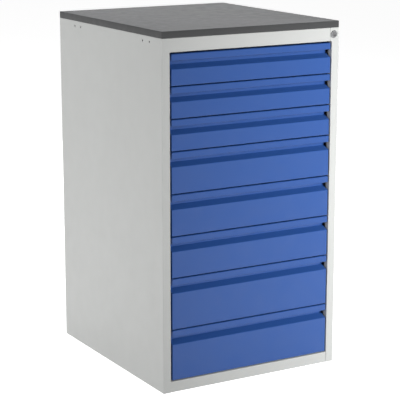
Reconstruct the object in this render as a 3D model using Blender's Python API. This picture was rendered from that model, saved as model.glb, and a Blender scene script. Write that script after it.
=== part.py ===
"""Industrial drawer cabinet: a folded sheet housing, a worktop and eight drawers on telescopic slides.

Metres, +Z up. The origin is the bottom centre of the whole cabinet and the fronts face -Y.
"""

import math

import bmesh
import bpy

# Housing
HOUSING_WIDTH = 0.580
HOUSING_DEPTH = 0.648
HOUSING_SHEET = 0.0012
HOUSING_FOLD_RADIUS = 0.0022
RAIL_FOLD_RADIUS = 0.0011
STILE_WIDTH = 0.025
BOTTOM_RAIL_HEIGHT = 0.0315
TOP_RAIL_HEIGHT = 0.0385
FOOT_RETURN = 0.020
REAR_FLANGE = 0.016
STILE_RETURN = 0.0160
GUIDE_FLANGE_INSET = 0.0050
LOCK_EAR = 0.0050
STILE_MARGIN = 0.0006

# Coupling holes in the side panels, measured from the front plane and from the housing's top
COUPLING_HOLE_RADIUS = 0.0028
COUPLING_HOLE_DROP = 0.0150
FRONT_HOLE_SETBACK = 0.070
REAR_HOLE_SETBACK = 0.500
COUPLING_HOLE_SPACING = 0.040

# Worktop
WORKTOP_THICKNESS = 0.019
EDGE_BAND_THICKNESS = 0.0020

# Drawer stack, from the top down
SHALLOW_PITCH = 0.090
MEDIUM_PITCH = 0.120
DEEP_PITCH = 0.150
DRAWER_PITCHES = [SHALLOW_PITCH] * 3 + [MEDIUM_PITCH] * 3 + [DEEP_PITCH] * 2
FRONT_GAP = 0.0030
TOP_GAP = 0.0045
SIDE_GAP = 0.0045

# Drawer front, a single folded sheet with a full-width finger recess under a hemmed lip
FRONT_SHEET = 0.0012
FRONT_FOLD_RADIUS = 0.0012
LIP_HEIGHT = 0.0185
HEM_HEIGHT = 0.0090
HEM_SPACING = 0.0018
RECESS_DEPTH = 0.0228
RECESS_HEIGHT = 0.0313
RAMP_DROP = 0.0105
FRONT_RETURN = 0.0200

# Drawer tray
TRAY_SHEET = 0.0012
TRAY_LENGTH = 0.600
TRAY_LIFT = 0.0100
TRAY_HEADROOM = 0.0180
TRAY_RIM = 0.0040

# Telescopic slides
SLIDE_SHEET = 0.0015
SLIDE_WIDTH = 0.0140
SLIDE_HEIGHT = 0.0360
SLIDE_LIFT = 0.0120
SLIDE_LENGTH = 0.590
SLIDE_INSET = 0.0010
SLIDE_SETBACK = 0.0026
FLANGE_TIP_GAP = 0.0025
BRACKET_LENGTH = 0.050
BRACKET_INSET = 0.060
BRACKET_HEIGHT = 0.020
BRACKET_FOOT = 0.007
BRACKET_SHEET = 0.0012
BRACKET_FOLD_RADIUS = 0.0008

# Lock
LOCK_FROM_SIDE = 0.0180
LOCK_PROUD = 0.0020
LOCK_FACE_RADIUS = 0.0112
LOCK_BODY_RADIUS = 0.0085
PLUG_RADIUS = 0.0057
PLUG_RECESS = 0.0003
KEYWAY_WIDTH = 0.0014
KEYWAY_HEIGHT = 0.0064
KEYWAY_DEPTH = 0.0040
LOCK_TURN = math.radians(90)
CRANK_RADIUS = 0.0080
CRANK_WIDTH = 0.0056
CRANK_THICKNESS = 0.0022
CRANK_GAP = 0.0004
CRANK_PIN_RADIUS = 0.00175
PIN_SLACK = 0.0006
BAR_THICKNESS = 0.0025
BAR_WIDTH = 0.0120
BAR_INSET = 0.0020
BAR_HEAD_MARGIN = 0.0080
BAR_SIDE_GAP = 0.0006
FINGER_HEIGHT = 0.0070
FINGER_GAP = 0.0020
FINGER_TIP_GAP = 0.0065
LUG_HEIGHT = 0.0120
LUG_RISE = 0.0030
LUG_REACH = 0.0120
LUG_THICKNESS = 0.0025
LUG_GAP = 0.0006

# Gap left between pieces that touch, and overrun of every cut
FIT = 0.0003
OVERRUN = 0.0010

# How finely round shapes are divided, and how near two points count as one, as a share of the sheet
FOLD_STEPS = 3
HOLE_SIDES = 10
CRANK_TIP_SIDES = 20
ROUND_SIDES = 28
SMOOTH_ANGLE = math.radians(35)
SAME_POINT_SHARE = 0.01

# Places that follow from the sizes above
front_y = LOCK_PROUD / 2 - HOUSING_DEPTH / 2
rear_y = front_y + HOUSING_DEPTH
side_outer = HOUSING_WIDTH / 2
side_inner = side_outer - HOUSING_SHEET
opening_half = side_outer - STILE_WIDTH
front_half = opening_half - SIDE_GAP
stack_bottom = BOTTOM_RAIL_HEIGHT + FRONT_GAP / 2
stack_top = stack_bottom + sum(DRAWER_PITCHES)
opening_top = stack_top - FRONT_GAP / 2 + TOP_GAP
housing_height = opening_top + TOP_RAIL_HEIGHT
front_depth = RECESS_DEPTH + FRONT_SHEET
frame_rear = front_y + front_depth + STILE_MARGIN
back_panel_rear = rear_y - HOUSING_SHEET - FIT
inner_rear = back_panel_rear - HOUSING_SHEET - FIT
rail_outer = opening_half - SLIDE_INSET
tray_half = rail_outer - SLIDE_WIDTH
bar_front = frame_rear + FIT
bar_rear = bar_front + BAR_THICKNESS
slide_front = bar_rear + SLIDE_SETBACK
slide_middle = slide_front + SLIDE_LENGTH / 2
slide_centre = SLIDE_LIFT + SLIDE_HEIGHT / 2
finger_low = SLIDE_LIFT + SLIDE_HEIGHT + FINGER_GAP
lock_x = side_outer - LOCK_FROM_SIDE
lock_z = opening_top + TOP_RAIL_HEIGHT / 2


def place(axis, along, first, second):
    """Point with the value along the axis and the two others across it, in X, Y, Z order."""
    if axis == "X":
        return (along, first, second)
    if axis == "Y":
        return (first, along, second)
    return (first, second, along)


def prism(outline, axis, low, high):
    """Closed solid: the outline, drawn across the axis, extruded from low to high."""
    shape = bmesh.new()
    base = shape.faces.new([shape.verts.new(place(axis, low, *point)) for point in outline])
    grown = bmesh.ops.extrude_face_region(shape, geom=[base], use_keep_orig=True)
    moved = [item for item in grown["geom"] if isinstance(item, bmesh.types.BMVert)]
    bmesh.ops.translate(shape, verts=moved, vec=place(axis, high - low, 0, 0))
    bmesh.ops.recalc_face_normals(shape, faces=shape.faces)
    mesh = bpy.data.meshes.new("solid")
    shape.to_mesh(mesh)
    shape.free()
    return mesh


def block(x, y, z):
    """Rectangular solid between the pairs of limits."""
    outline = [(x[0], y[0]), (x[1], y[0]), (x[1], y[1]), (x[0], y[1])]
    return prism(outline, "Z", z[0], z[1])


def circle(centre, radius, sides):
    """Outline of a round shape."""
    angles = [2 * math.pi * step / sides for step in range(sides)]
    return [(centre[0] + radius * math.cos(a), centre[1] + radius * math.sin(a)) for a in angles]


def combined(base, others, operation):
    """The base solid with the others united with it or taken from it."""
    body = bpy.data.objects.new("body", base)
    tools = [bpy.data.objects.new("tool", mesh) for mesh in others]
    for item in [body, *tools]:
        bpy.context.scene.collection.objects.link(item)
    for tool in tools:
        change = body.modifiers.new("change", "BOOLEAN")
        change.operation = operation
        change.solver = "EXACT"
        change.object = tool
    graph = bpy.context.evaluated_depsgraph_get()
    result = bpy.data.meshes.new_from_object(body.evaluated_get(graph))
    for item in [body, *tools]:
        bpy.data.objects.remove(item)
    return result


def united(*solids):
    """One solid made of several that overlap."""
    return combined(solids[0], solids[1:], "UNION")


def cut(base, *tools):
    """The base solid without the tools."""
    return combined(base, tools, "DIFFERENCE")


def rounded(points, radius):
    """The open line through the points, with an arc of the radius in each corner."""
    line = [points[0]]
    for before, corner, after in zip(points, points[1:], points[2:]):
        inward = (corner[0] - before[0], corner[1] - before[1])
        outward = (after[0] - corner[0], after[1] - corner[1])
        heading = math.atan2(inward[1], inward[0])
        turn = math.atan2(inward[0] * outward[1] - inward[1] * outward[0],
                          inward[0] * outward[0] + inward[1] * outward[1])
        side = math.copysign(1, turn)
        tangent = radius * math.tan(abs(turn) / 2)
        start = (corner[0] - tangent * math.cos(heading), corner[1] - tangent * math.sin(heading))
        centre = (start[0] - side * radius * math.sin(heading), start[1] + side * radius * math.cos(heading))
        for step in range(FOLD_STEPS + 1):
            angle = heading + turn * step / FOLD_STEPS
            line.append((centre[0] + side * radius * math.sin(angle), centre[1] - side * radius * math.cos(angle)))
    line.append(points[-1])
    return line


def sheet(points, thickness, radius):
    """Closed outline of a folded sheet whose middle line runs through the points."""
    line = []
    for point in rounded(points, radius):
        if not line or math.dist(point, line[-1]) > thickness * SAME_POINT_SHARE:
            line.append(point)
    left, right = [], []
    for index, point in enumerate(line):
        before = line[max(index - 1, 0)]
        after = line[min(index + 1, len(line) - 1)]
        normals = []
        for start, end in ((before, point), (point, after)):
            length = math.dist(start, end)
            if length > 0:
                normals.append(((start[1] - end[1]) / length, (end[0] - start[0]) / length))
        mean = (sum(n[0] for n in normals) / len(normals), sum(n[1] for n in normals) / len(normals))
        reach = thickness / 2 / (mean[0] ** 2 + mean[1] ** 2)
        left.append((point[0] + mean[0] * reach, point[1] + mean[1] * reach))
        right.append((point[0] - mean[0] * reach, point[1] - mean[1] * reach))
    return left + right[::-1]


def paint(name, colour, roughness, metallic):
    """Material of one finish."""
    material = bpy.data.materials.new(name)
    material.use_nodes = True
    shader = material.node_tree.nodes["Principled BSDF"]
    shader.inputs["Base Color"].default_value = (*colour, 1)
    shader.inputs["Roughness"].default_value = roughness
    shader.inputs["Metallic"].default_value = metallic
    material.diffuse_color = (*colour, 1)
    return material


def carrier(name, location):
    """Empty that carries the pieces of one moving body, on its joint's axis."""
    empty = bpy.data.objects.new(name, None)
    empty.location = location
    bpy.context.scene.collection.objects.link(empty)
    return empty


def piece(name, mesh, material, parent=None, location=(0, 0, 0), turn=0):
    """Named object of one solid."""
    mesh.materials.clear()
    mesh.materials.append(material)
    mesh.shade_smooth()
    mesh.set_sharp_from_angle(angle=SMOOTH_ANGLE)
    made = bpy.data.objects.new(name, mesh)
    made.parent = parent
    made.location = location
    made.rotation_euler = (0, 0, turn)
    bpy.context.scene.collection.objects.link(made)
    return made


def coupling_holes(side):
    """Cutters for the small holes along a side panel's top; side is -1 on the left and 1 on the right."""
    height = housing_height - COUPLING_HOLE_DROP
    reach = sorted((side * (side_inner - OVERRUN), side * (side_outer + OVERRUN)))
    cutters = []
    for first in (FRONT_HOLE_SETBACK, REAR_HOLE_SETBACK):
        for setback in (first, first + COUPLING_HOLE_SPACING):
            outline = circle((front_y + setback, height), COUPLING_HOLE_RADIUS, HOLE_SIDES)
            cutters.append(prism(outline, "X", *reach))
    return cutters


def side_panel_left():
    """Left side with its front stile, the stile's return flange and the rear flange in one sheet."""
    half = HOUSING_SHEET / 2
    points = [
        (-opening_half - half, front_y + STILE_RETURN),
        (-opening_half - half, front_y + half),
        (half - side_outer, front_y + half),
        (half - side_outer, rear_y - half),
        (REAR_FLANGE - side_outer, rear_y - half),
    ]
    panel = prism(sheet(points, HOUSING_SHEET, HOUSING_FOLD_RADIUS), "Z", 0, housing_height)
    return cut(panel, *coupling_holes(-1))


def side_panel_right():
    """Right side with its rear flange, behind the lock column."""
    half = HOUSING_SHEET / 2
    points = [
        (side_outer - half, frame_rear + FIT),
        (side_outer - half, rear_y - half),
        (side_outer - REAR_FLANGE, rear_y - half),
    ]
    panel = prism(sheet(points, HOUSING_SHEET, HOUSING_FOLD_RADIUS), "Z", 0, housing_height)
    return cut(panel, *coupling_holes(1))


def lock_column():
    """Right front post, a channel with a rear flange that guides the lock bar, wider and bored at the lock."""
    half = HOUSING_SHEET / 2
    outer_side = (side_outer - half, front_y + half)
    channel_points = [
        (opening_half + half, front_y + STILE_RETURN),
        (opening_half + half, front_y + half),
        outer_side,
        (side_outer - half, frame_rear - half),
        (opening_half + GUIDE_FLANGE_INSET, frame_rear - half),
    ]
    ear_points = [(opening_half - LOCK_EAR, front_y + half), outer_side, (side_outer - half, frame_rear)]
    post = prism(sheet(channel_points, HOUSING_SHEET, RAIL_FOLD_RADIUS), "Z", 0, opening_top + HOUSING_SHEET)
    head = prism(sheet(ear_points, HOUSING_SHEET, RAIL_FOLD_RADIUS), "Z", opening_top, housing_height)
    bore = circle((lock_x, lock_z), LOCK_BODY_RADIUS + FIT, ROUND_SIDES)
    return cut(united(post, head), prism(bore, "Y", front_y - OVERRUN, front_y + HOUSING_SHEET + OVERRUN))


def top_rail():
    """Front rail above the drawers, with a return flange at each edge."""
    half = HOUSING_SHEET / 2
    points = [
        (frame_rear, opening_top + half),
        (front_y + half, opening_top + half),
        (front_y + half, housing_height - half),
        (frame_rear, housing_height - half),
    ]
    outline = sheet(points, HOUSING_SHEET, RAIL_FOLD_RADIUS)
    return prism(outline, "X", FIT - opening_half, opening_half - LOCK_EAR - FIT)


def base_pan():
    """Floor of the housing, folded down at the front as the bottom rail and at the back as a foot."""
    half = HOUSING_SHEET / 2
    points = [
        (front_y + FOOT_RETURN, half),
        (front_y + half, half),
        (front_y + half, BOTTOM_RAIL_HEIGHT - half),
        (inner_rear - half, BOTTOM_RAIL_HEIGHT - half),
        (inner_rear - half, half),
        (inner_rear - FOOT_RETURN, half),
    ]
    outline = sheet(points, HOUSING_SHEET, RAIL_FOLD_RADIUS)
    folded = prism(outline, "X", FIT - opening_half, opening_half - FIT)
    floor = block(
        (FIT - side_inner, side_inner - FIT),
        (frame_rear + FIT, inner_rear - HOUSING_FOLD_RADIUS - HOUSING_SHEET),
        (BOTTOM_RAIL_HEIGHT - HOUSING_SHEET, BOTTOM_RAIL_HEIGHT),
    )
    return united(folded, floor)


def back_panel():
    """Flat sheet that closes the back, inside the side panels' rear flanges."""
    return block(
        (HOUSING_FOLD_RADIUS - side_inner, side_inner - HOUSING_FOLD_RADIUS),
        (back_panel_rear - HOUSING_SHEET, back_panel_rear),
        (0, housing_height),
    )


def top_panel():
    """Flat sheet that closes the housing under the worktop."""
    return block(
        (FIT - side_inner, side_inner - FIT),
        (frame_rear + FIT, inner_rear),
        (housing_height - HOUSING_SHEET, housing_height),
    )


def worktop_solid(inset, overrun=0):
    """Worktop's block, its sides moved in by the inset and its faces moved out by the overrun."""
    low = housing_height + FIT
    return block(
        (inset - side_outer, side_outer - inset),
        (front_y + inset, rear_y - inset),
        (low - overrun, low + WORKTOP_THICKNESS + overrun),
    )


def worktop_edge_band():
    """Band glued round the worktop's four edges."""
    return cut(worktop_solid(0), worktop_solid(EDGE_BAND_THICKNESS, OVERRUN))


def drawer_front(pitch):
    """Folded front, in its drawer's frame: Y runs in from the front plane, Z up from the pitch line."""
    half = FRONT_SHEET / 2
    bottom = FRONT_GAP / 2
    top = pitch - FRONT_GAP / 2
    recess_low = top - RECESS_HEIGHT
    ramp_low = recess_low - RAMP_DROP
    lip_low = top - LIP_HEIGHT
    points = [
        (FRONT_RETURN, bottom + half),
        (half, bottom + half),
        (half, ramp_low),
        (front_depth - half, recess_low),
        (front_depth - half, top - half),
        (half, top - half),
        (half, lip_low + half),
        (half + HEM_SPACING, lip_low + half),
        (half + HEM_SPACING, lip_low + HEM_HEIGHT),
    ]
    radius = min(FRONT_FOLD_RADIUS, HEM_SPACING / 2)
    folded = prism(sheet(points, FRONT_SHEET, radius), "X", -front_half, front_half)
    slope = (recess_low - ramp_low) / (front_depth - FRONT_SHEET)
    cheek = [
        (half, bottom + half),
        (half, ramp_low),
        (FRONT_RETURN, ramp_low + slope * (FRONT_RETURN - half)),
        (FRONT_RETURN, bottom + half),
    ]
    left = prism(cheek, "X", -front_half, FRONT_SHEET - front_half)
    right = prism(cheek, "X", front_half - FRONT_SHEET, front_half)
    return united(folded, left, right)


def channel(web, tip, half_height, thickness):
    """Outline of a C with its web's outer face at web, its flanges ending at tip, centred on zero height."""
    inner = web + math.copysign(thickness, tip - web)
    low = half_height - thickness
    return [
        (web, -half_height), (tip, -half_height), (tip, -low), (inner, -low),
        (inner, low), (tip, low), (tip, half_height), (web, half_height),
    ]


def drawer_tray(pitch):
    """Open tray with rims, the slides' inner members on its sides and the lock's lug on its right."""
    start = front_depth + FIT
    low = TRAY_LIFT
    high = pitch - TRAY_HEADROOM
    end = start + TRAY_LENGTH
    outer = block((-tray_half, tray_half), (start, end), (low, high))
    hollow = block(
        (TRAY_SHEET - tray_half, tray_half - TRAY_SHEET),
        (start + TRAY_SHEET, end - TRAY_SHEET),
        (low + TRAY_SHEET, high + OVERRUN),
    )
    parts = [cut(outer, hollow)]
    root = tray_half - TRAY_SHEET / 2
    member_half = SLIDE_HEIGHT / 2 - 2 * (SLIDE_SHEET + FIT)
    member_tip = rail_outer - 2 * (SLIDE_SHEET + FIT)
    member_start = slide_front - front_y
    for side in (-1, 1):
        member = [(side * x, slide_centre + z) for x, z in channel(root, member_tip, member_half, SLIDE_SHEET)]
        parts.append(prism(member, "Y", member_start, member_start + SLIDE_LENGTH))
        rim = sorted((side * root, side * (tray_half + TRAY_RIM)))
        parts.append(block(rim, (start + TRAY_SHEET / 2, end - TRAY_SHEET / 2), (high - TRAY_SHEET, high)))
    lug_low = finger_low + FINGER_HEIGHT + LUG_RISE
    lug_start = bar_rear + LUG_GAP - front_y
    parts.append(block(
        (root, tray_half + LUG_REACH),
        (lug_start, lug_start + LUG_THICKNESS),
        (lug_low, lug_low + LUG_HEIGHT),
    ))
    return united(*parts)


def slide_member():
    """Middle member of a right-hand slide, centred on the slide's length and height."""
    web = rail_outer - SLIDE_SHEET - FIT
    half_height = SLIDE_HEIGHT / 2 - SLIDE_SHEET - FIT
    outline = channel(web, tray_half + FLANGE_TIP_GAP, half_height, SLIDE_SHEET)
    return prism(outline, "Y", -SLIDE_LENGTH / 2, SLIDE_LENGTH / 2)


def slide_rail():
    """Cabinet member of a right-hand slide with the two hat brackets that stand it off the side panel."""
    outline = channel(rail_outer, tray_half + FLANGE_TIP_GAP, SLIDE_HEIGHT / 2, SLIDE_SHEET)
    parts = [prism(outline, "Y", -SLIDE_LENGTH / 2, SLIDE_LENGTH / 2)]
    crown = rail_outer - SLIDE_SHEET / 2
    foot = side_inner - FIT - BRACKET_SHEET / 2
    high = BRACKET_HEIGHT / 2
    points = [(foot, high + BRACKET_FOOT), (foot, high), (crown, high),
              (crown, -high), (foot, -high), (foot, -high - BRACKET_FOOT)]
    hat = sheet(points, BRACKET_SHEET, BRACKET_FOLD_RADIUS)
    near = SLIDE_LENGTH / 2 - BRACKET_INSET
    for start in (-near, near - BRACKET_LENGTH):
        parts.append(prism(hat, "Y", start, start + BRACKET_LENGTH))
    return united(*parts)


def lock_housing():
    """Round lock body with its face flange and the bore for the plug, about the lock's axis."""
    crank_front = bar_front - front_y - CRANK_GAP - CRANK_THICKNESS
    flange = prism(circle((0, 0), LOCK_FACE_RADIUS, ROUND_SIDES), "Y", -LOCK_PROUD, -FIT)
    body = prism(circle((0, 0), LOCK_BODY_RADIUS, ROUND_SIDES), "Y", -LOCK_PROUD / 2, crank_front - FIT)
    bore = prism(circle((0, 0), PLUG_RADIUS + FIT, ROUND_SIDES), "Y", -LOCK_PROUD - OVERRUN, crank_front)
    return cut(united(flange, body), bore)


def lock_plug():
    """Plug with its keyway, the crank arm behind it and the pin that lifts the lock bar."""
    crank_rear = bar_front - front_y - CRANK_GAP
    crank_front = crank_rear - CRANK_THICKNESS
    face = PLUG_RECESS - LOCK_PROUD
    core = prism(circle((0, 0), PLUG_RADIUS, ROUND_SIDES), "Y", face, crank_rear)
    angle = -LOCK_TURN / 2
    along = (math.cos(angle), math.sin(angle))
    across = (-along[1] * CRANK_WIDTH / 2, along[0] * CRANK_WIDTH / 2)
    tip = (along[0] * CRANK_RADIUS, along[1] * CRANK_RADIUS)
    arm = [(-across[0], -across[1]), (tip[0] - across[0], tip[1] - across[1]),
           (tip[0] + across[0], tip[1] + across[1]), (across[0], across[1])]
    crank = prism(arm, "Y", crank_front, crank_rear)
    tip_round = prism(circle(tip, CRANK_WIDTH / 2, CRANK_TIP_SIDES), "Y", crank_front, crank_rear)
    pin_outline = circle(tip, CRANK_PIN_RADIUS, HOLE_SIDES)
    pin = prism(pin_outline, "Y", crank_front + CRANK_THICKNESS / 2, crank_rear + CRANK_GAP + BAR_THICKNESS)
    keyway = block(
        (-KEYWAY_WIDTH / 2, KEYWAY_WIDTH / 2),
        (face - OVERRUN, face + KEYWAY_DEPTH),
        (-KEYWAY_HEIGHT / 2, KEYWAY_HEIGHT / 2),
    )
    return cut(united(core, crank, tip_round, pin), keyway)


def lock_bar(lines):
    """Flat bar with a finger for each drawer and a slotted head for the crank pin, in world place."""
    inner = opening_half + BAR_INSET
    tip = tray_half + FINGER_TIP_GAP
    outer = inner + BAR_WIDTH
    head = side_inner - BAR_SIDE_GAP
    pin_reach = CRANK_RADIUS * math.cos(LOCK_TURN / 2)
    pin_drop = CRANK_RADIUS * math.sin(LOCK_TURN / 2)
    slot_half = CRANK_PIN_RADIUS + PIN_SLACK
    slot_z = lock_z - pin_drop
    outline = []
    for line in sorted(lines):
        low = line + finger_low
        outline += [(inner, low), (tip, low), (tip, low + FINGER_HEIGHT), (inner, low + FINGER_HEIGHT)]
    outline = outline[1:]
    outline += [
        (inner, slot_z + BAR_HEAD_MARGIN), (head, slot_z + BAR_HEAD_MARGIN),
        (head, slot_z - BAR_HEAD_MARGIN), (outer, slot_z - BAR_HEAD_MARGIN),
        (outer, min(lines) + finger_low),
    ]
    slot = block(
        (lock_x + pin_reach - slot_half, lock_x + CRANK_RADIUS + slot_half),
        (bar_front - OVERRUN, bar_rear + OVERRUN),
        (slot_z - slot_half, slot_z + slot_half),
    )
    return cut(prism(outline, "Y", bar_front, bar_rear), slot)


def build_housing(grey, board, band):
    """Fixed sheets and the worktop."""
    piece("side_panel_left", side_panel_left(), grey)
    piece("side_panel_right", side_panel_right(), grey)
    piece("lock_column", lock_column(), grey)
    piece("top_rail", top_rail(), grey)
    piece("base_pan", base_pan(), grey)
    piece("back_panel", back_panel(), grey)
    piece("top_panel", top_panel(), grey)
    piece("worktop_board", worktop_solid(EDGE_BAND_THICKNESS + FIT), board)
    piece("worktop_edge_band", worktop_edge_band(), band)


def build_drawers(blue, grey, zinc):
    """Eight drawers with their slides; gives the height of each drawer's pitch line."""
    fronts = {pitch: drawer_front(pitch) for pitch in set(DRAWER_PITCHES)}
    trays = {pitch: drawer_tray(pitch) for pitch in set(DRAWER_PITCHES)}
    member = slide_member()
    rail = slide_rail()
    line = stack_top
    lines = []
    for number, pitch in enumerate(DRAWER_PITCHES, 1):
        line -= pitch
        lines.append(line)
        drawer = carrier(f"drawer_{number}_carrier", (0, front_y, line))
        piece(f"drawer_{number}_front", fronts[pitch], blue, drawer)
        piece(f"drawer_{number}_tray", trays[pitch], grey, drawer)
        slides_place = (0, slide_middle, line + slide_centre)
        slides = carrier(f"drawer_{number}_slides_carrier", slides_place)
        for side, turn in (("left", math.pi), ("right", 0)):
            piece(f"drawer_{number}_slide_{side}", member, zinc, slides, turn=turn)
            piece(f"drawer_{number}_rail_{side}", rail, zinc, location=slides_place, turn=turn)
    return lines


def build_lock(lines, chrome, steel, zinc):
    """Lock body and plug on the lock's axis, and the bar that the plug lifts."""
    axis_place = (lock_x, front_y, lock_z)
    piece("lock_housing", lock_housing(), chrome, location=axis_place)
    piece("lock_plug", lock_plug(), steel, location=axis_place)
    piece("lock_bar", lock_bar(lines), zinc)


def main():
    for old in list(bpy.data.objects):
        bpy.data.objects.remove(old)
    grey = paint("light_grey_paint", (0.56, 0.57, 0.55), 0.45, 0)
    blue = paint("blue_paint", (0.060, 0.125, 0.376), 0.42, 0)
    board = paint("worktop_grey", (0.150, 0.150, 0.150), 0.55, 0)
    band = paint("edge_band_grey", (0.090, 0.092, 0.092), 0.50, 0)
    zinc = paint("zinc_plate", (0.55, 0.56, 0.58), 0.35, 0.9)
    chrome = paint("lock_chrome", (0.60, 0.60, 0.61), 0.25, 1)
    steel = paint("plug_steel", (0.42, 0.42, 0.43), 0.35, 1)
    build_housing(grey, board, band)
    lines = build_drawers(blue, grey, zinc)
    build_lock(lines, chrome, steel, zinc)


main()
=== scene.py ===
"""Looks of an industrial drawer cabinet: folded sheets, worktop, drawers on telescopic slides and a lock.

Metres, +Z up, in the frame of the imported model: the origin is the bottom centre and the fronts face -Y.
"""

import functools
import logging
import math
from collections.abc import Sequence
from dataclasses import dataclass
from enum import Enum

import bpy
import numpy as np
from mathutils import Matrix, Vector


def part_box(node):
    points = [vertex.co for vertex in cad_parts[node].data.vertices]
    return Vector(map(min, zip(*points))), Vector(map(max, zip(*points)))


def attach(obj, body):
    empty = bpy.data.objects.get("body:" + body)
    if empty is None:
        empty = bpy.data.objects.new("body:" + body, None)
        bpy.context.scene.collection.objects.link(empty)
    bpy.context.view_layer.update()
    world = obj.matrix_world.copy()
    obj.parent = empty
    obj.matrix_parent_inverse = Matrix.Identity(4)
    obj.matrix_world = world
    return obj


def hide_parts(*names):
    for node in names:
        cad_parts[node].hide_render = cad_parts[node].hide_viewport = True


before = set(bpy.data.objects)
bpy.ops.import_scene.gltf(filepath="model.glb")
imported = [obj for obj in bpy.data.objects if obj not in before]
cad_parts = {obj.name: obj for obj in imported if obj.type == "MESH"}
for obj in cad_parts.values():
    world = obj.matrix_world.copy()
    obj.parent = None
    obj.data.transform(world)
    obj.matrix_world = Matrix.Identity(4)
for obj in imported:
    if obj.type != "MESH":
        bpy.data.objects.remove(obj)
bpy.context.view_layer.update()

Array = np.ndarray
Pair = tuple[float, float]
Triple = tuple[float, float, float]
Socket = bpy.types.NodeSocket

LOG = logging.getLogger("cabinet")
FOLD_STEPS = 6
EDGE_STEPS = 2
DOME_STEPS = 5
ROUND_SIDES = 64
SMALL_ROUND_SIDES = 24
RIVET_SIDES = 16
SHARP_ANGLE = math.radians(50)
SAME_PLACE = 1e-7
SUPPORT = 0.0004
SUPPORTED_RUNS = 4
OVERRUN = 0.001
CUT_EDGE = 0.0002
TIGHT = 0.0003
WHITE = (1, 1, 1, 1)
MIX_SHARE, MIX_FIRST, MIX_SECOND, MIX_RESULT = 0, 6, 7, 2


class Axis(Enum):
    """Direction that an outline is carried along: the columns of its own two values and of the way along."""

    X = (1, 2, 0)
    Y = (0, 2, 1)
    Z = (0, 1, 2)


class Side(Enum):
    """Left or right half of the cabinet, as seen from the front."""

    LEFT = "left"
    RIGHT = "right"

    def of(self, shape: "Surface") -> "Surface":
        """A shape drawn for the right half, put on this one."""
        return shape if self is Side.RIGHT else shape.mirrored()


@dataclass(frozen=True)
class Surface:
    """Points and faces of closed shapes; a face is a row of four corners, and a triangle's fourth is -1."""

    points: Array
    faces: Array

    def mirrored(self) -> "Surface":
        """The shape on the other side of the YZ plane, its faces turned to point outwards again."""
        return Surface(self.points * (-1, 1, 1), self.faces[:, [2, 1, 0, 3]])

    def outward(self) -> "Surface":
        """Turn the faces of a closed shape outwards, by the sum of its triangles' first . (second x third).

        Returns:
            The shape, with its faces reversed if that sum is negative.
        """
        quads = self.faces[self.faces[:, 3] >= 0]
        triangles = np.vstack([self.faces[:, :3], quads[:, [0, 2, 3]]])
        first, second, third = (self.points[triangles[:, corner]] for corner in range(3))
        if np.sum(first * np.cross(second, third)) < 0:
            return Surface(self.points, self.faces[:, [2, 1, 0, 3]])
        return self

    def mesh(self, name: str) -> bpy.types.Mesh:
        """Write the shape into a new mesh.

        Args:
            name: The mesh's name.

        Returns:
            The mesh.
        """
        totals = np.where(self.faces[:, 3] < 0, 3, 4)
        corners = self.faces[self.faces >= 0]
        made = bpy.data.meshes.new(name)
        made.vertices.add(len(self.points))
        made.vertices.foreach_set("co", self.points.astype(np.float32).ravel())
        made.loops.add(len(corners))
        made.loops.foreach_set("vertex_index", corners.astype(np.int32))
        made.polygons.add(len(totals))
        made.polygons.foreach_set("loop_start", (np.cumsum(totals) - totals).astype(np.int32))
        made.update(calc_edges=True)
        made.validate()
        return made


def placed(name: str, data: bpy.types.ID) -> bpy.types.Object:
    """Put a new object into the scene.

    Args:
        name: The object's name.
        data: Its mesh, light or camera.

    Returns:
        The object.
    """
    made = bpy.data.objects.new(name, data)
    bpy.context.scene.collection.objects.link(made)
    return made


def joined(*shapes: Surface) -> Surface:
    """Put several shapes into one.

    Args:
        shapes: The shapes, which stay apart.

    Returns:
        All their points and faces.
    """
    starts = np.cumsum([0] + [len(shape.points) for shape in shapes[:-1]])
    faces = [np.where(shape.faces < 0, -1, shape.faces + start) for shape, start in zip(shapes, starts)]
    return Surface(np.vstack([shape.points for shape in shapes]), np.vstack(faces))


def rounded(corners: Sequence[Pair] | Array, radii: float | Sequence[float]) -> Array:
    """Round the inner corners of an open line.

    An arc's points are centre + bend * (sin, -cos) of a heading that turns evenly from one run to the next.

    Args:
        corners: The line's corners.
        radii: Radius of every inner corner, or one for each.

    Returns:
        The line's points, two to a row.
    """
    line = np.asarray(corners, float)
    parts = [line[:1]]
    for corner, radius in enumerate(np.broadcast_to(radii, len(line) - 2), 1):
        before, after = line[corner] - line[corner - 1], line[corner + 1] - line[corner]
        heading = math.atan2(before[1], before[0])
        turn = math.atan2(before[0] * after[1] - before[1] * after[0], before @ after)
        bend = math.copysign(radius, turn)
        ahead = np.array([math.cos(heading), math.sin(heading)])
        start = line[corner] - radius * math.tan(abs(turn) / 2) * ahead
        centre = start + bend * np.array([-ahead[1], ahead[0]])
        angles = heading + turn * np.linspace(0, 1, FOLD_STEPS + 1)
        parts.append(centre + bend * np.stack([np.sin(angles), -np.cos(angles)], axis=1))
    points = np.vstack([*parts, line[-1:]])
    apart = np.linalg.norm(np.diff(points, axis=0), axis=1) > SAME_PLACE
    return points[np.concatenate([[True], apart])]


def rectangle(low: Pair, high: Pair, radius: float) -> Array:
    """Closed outline of a rectangle with round corners, starting halfway up its left side."""
    start = (low[0], (low[1] + high[1]) / 2)
    return rounded([start, low, (high[0], low[1]), high, (low[0], high[1]), start], radius)[:-1]


def arc(angles: Array | float) -> Array:
    """Points (cos, sin) of angles, one to a row."""
    return np.stack([np.cos(angles), np.sin(angles)], axis=-1)


def circle(centre: Pair, radius: float, sides: int) -> Array:
    """Closed outline: centre + radius * (cos, sin) of evenly spaced angles, one for each of its sides."""
    return centre + radius * arc(np.linspace(0, 2 * math.pi, sides, endpoint=False))


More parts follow.
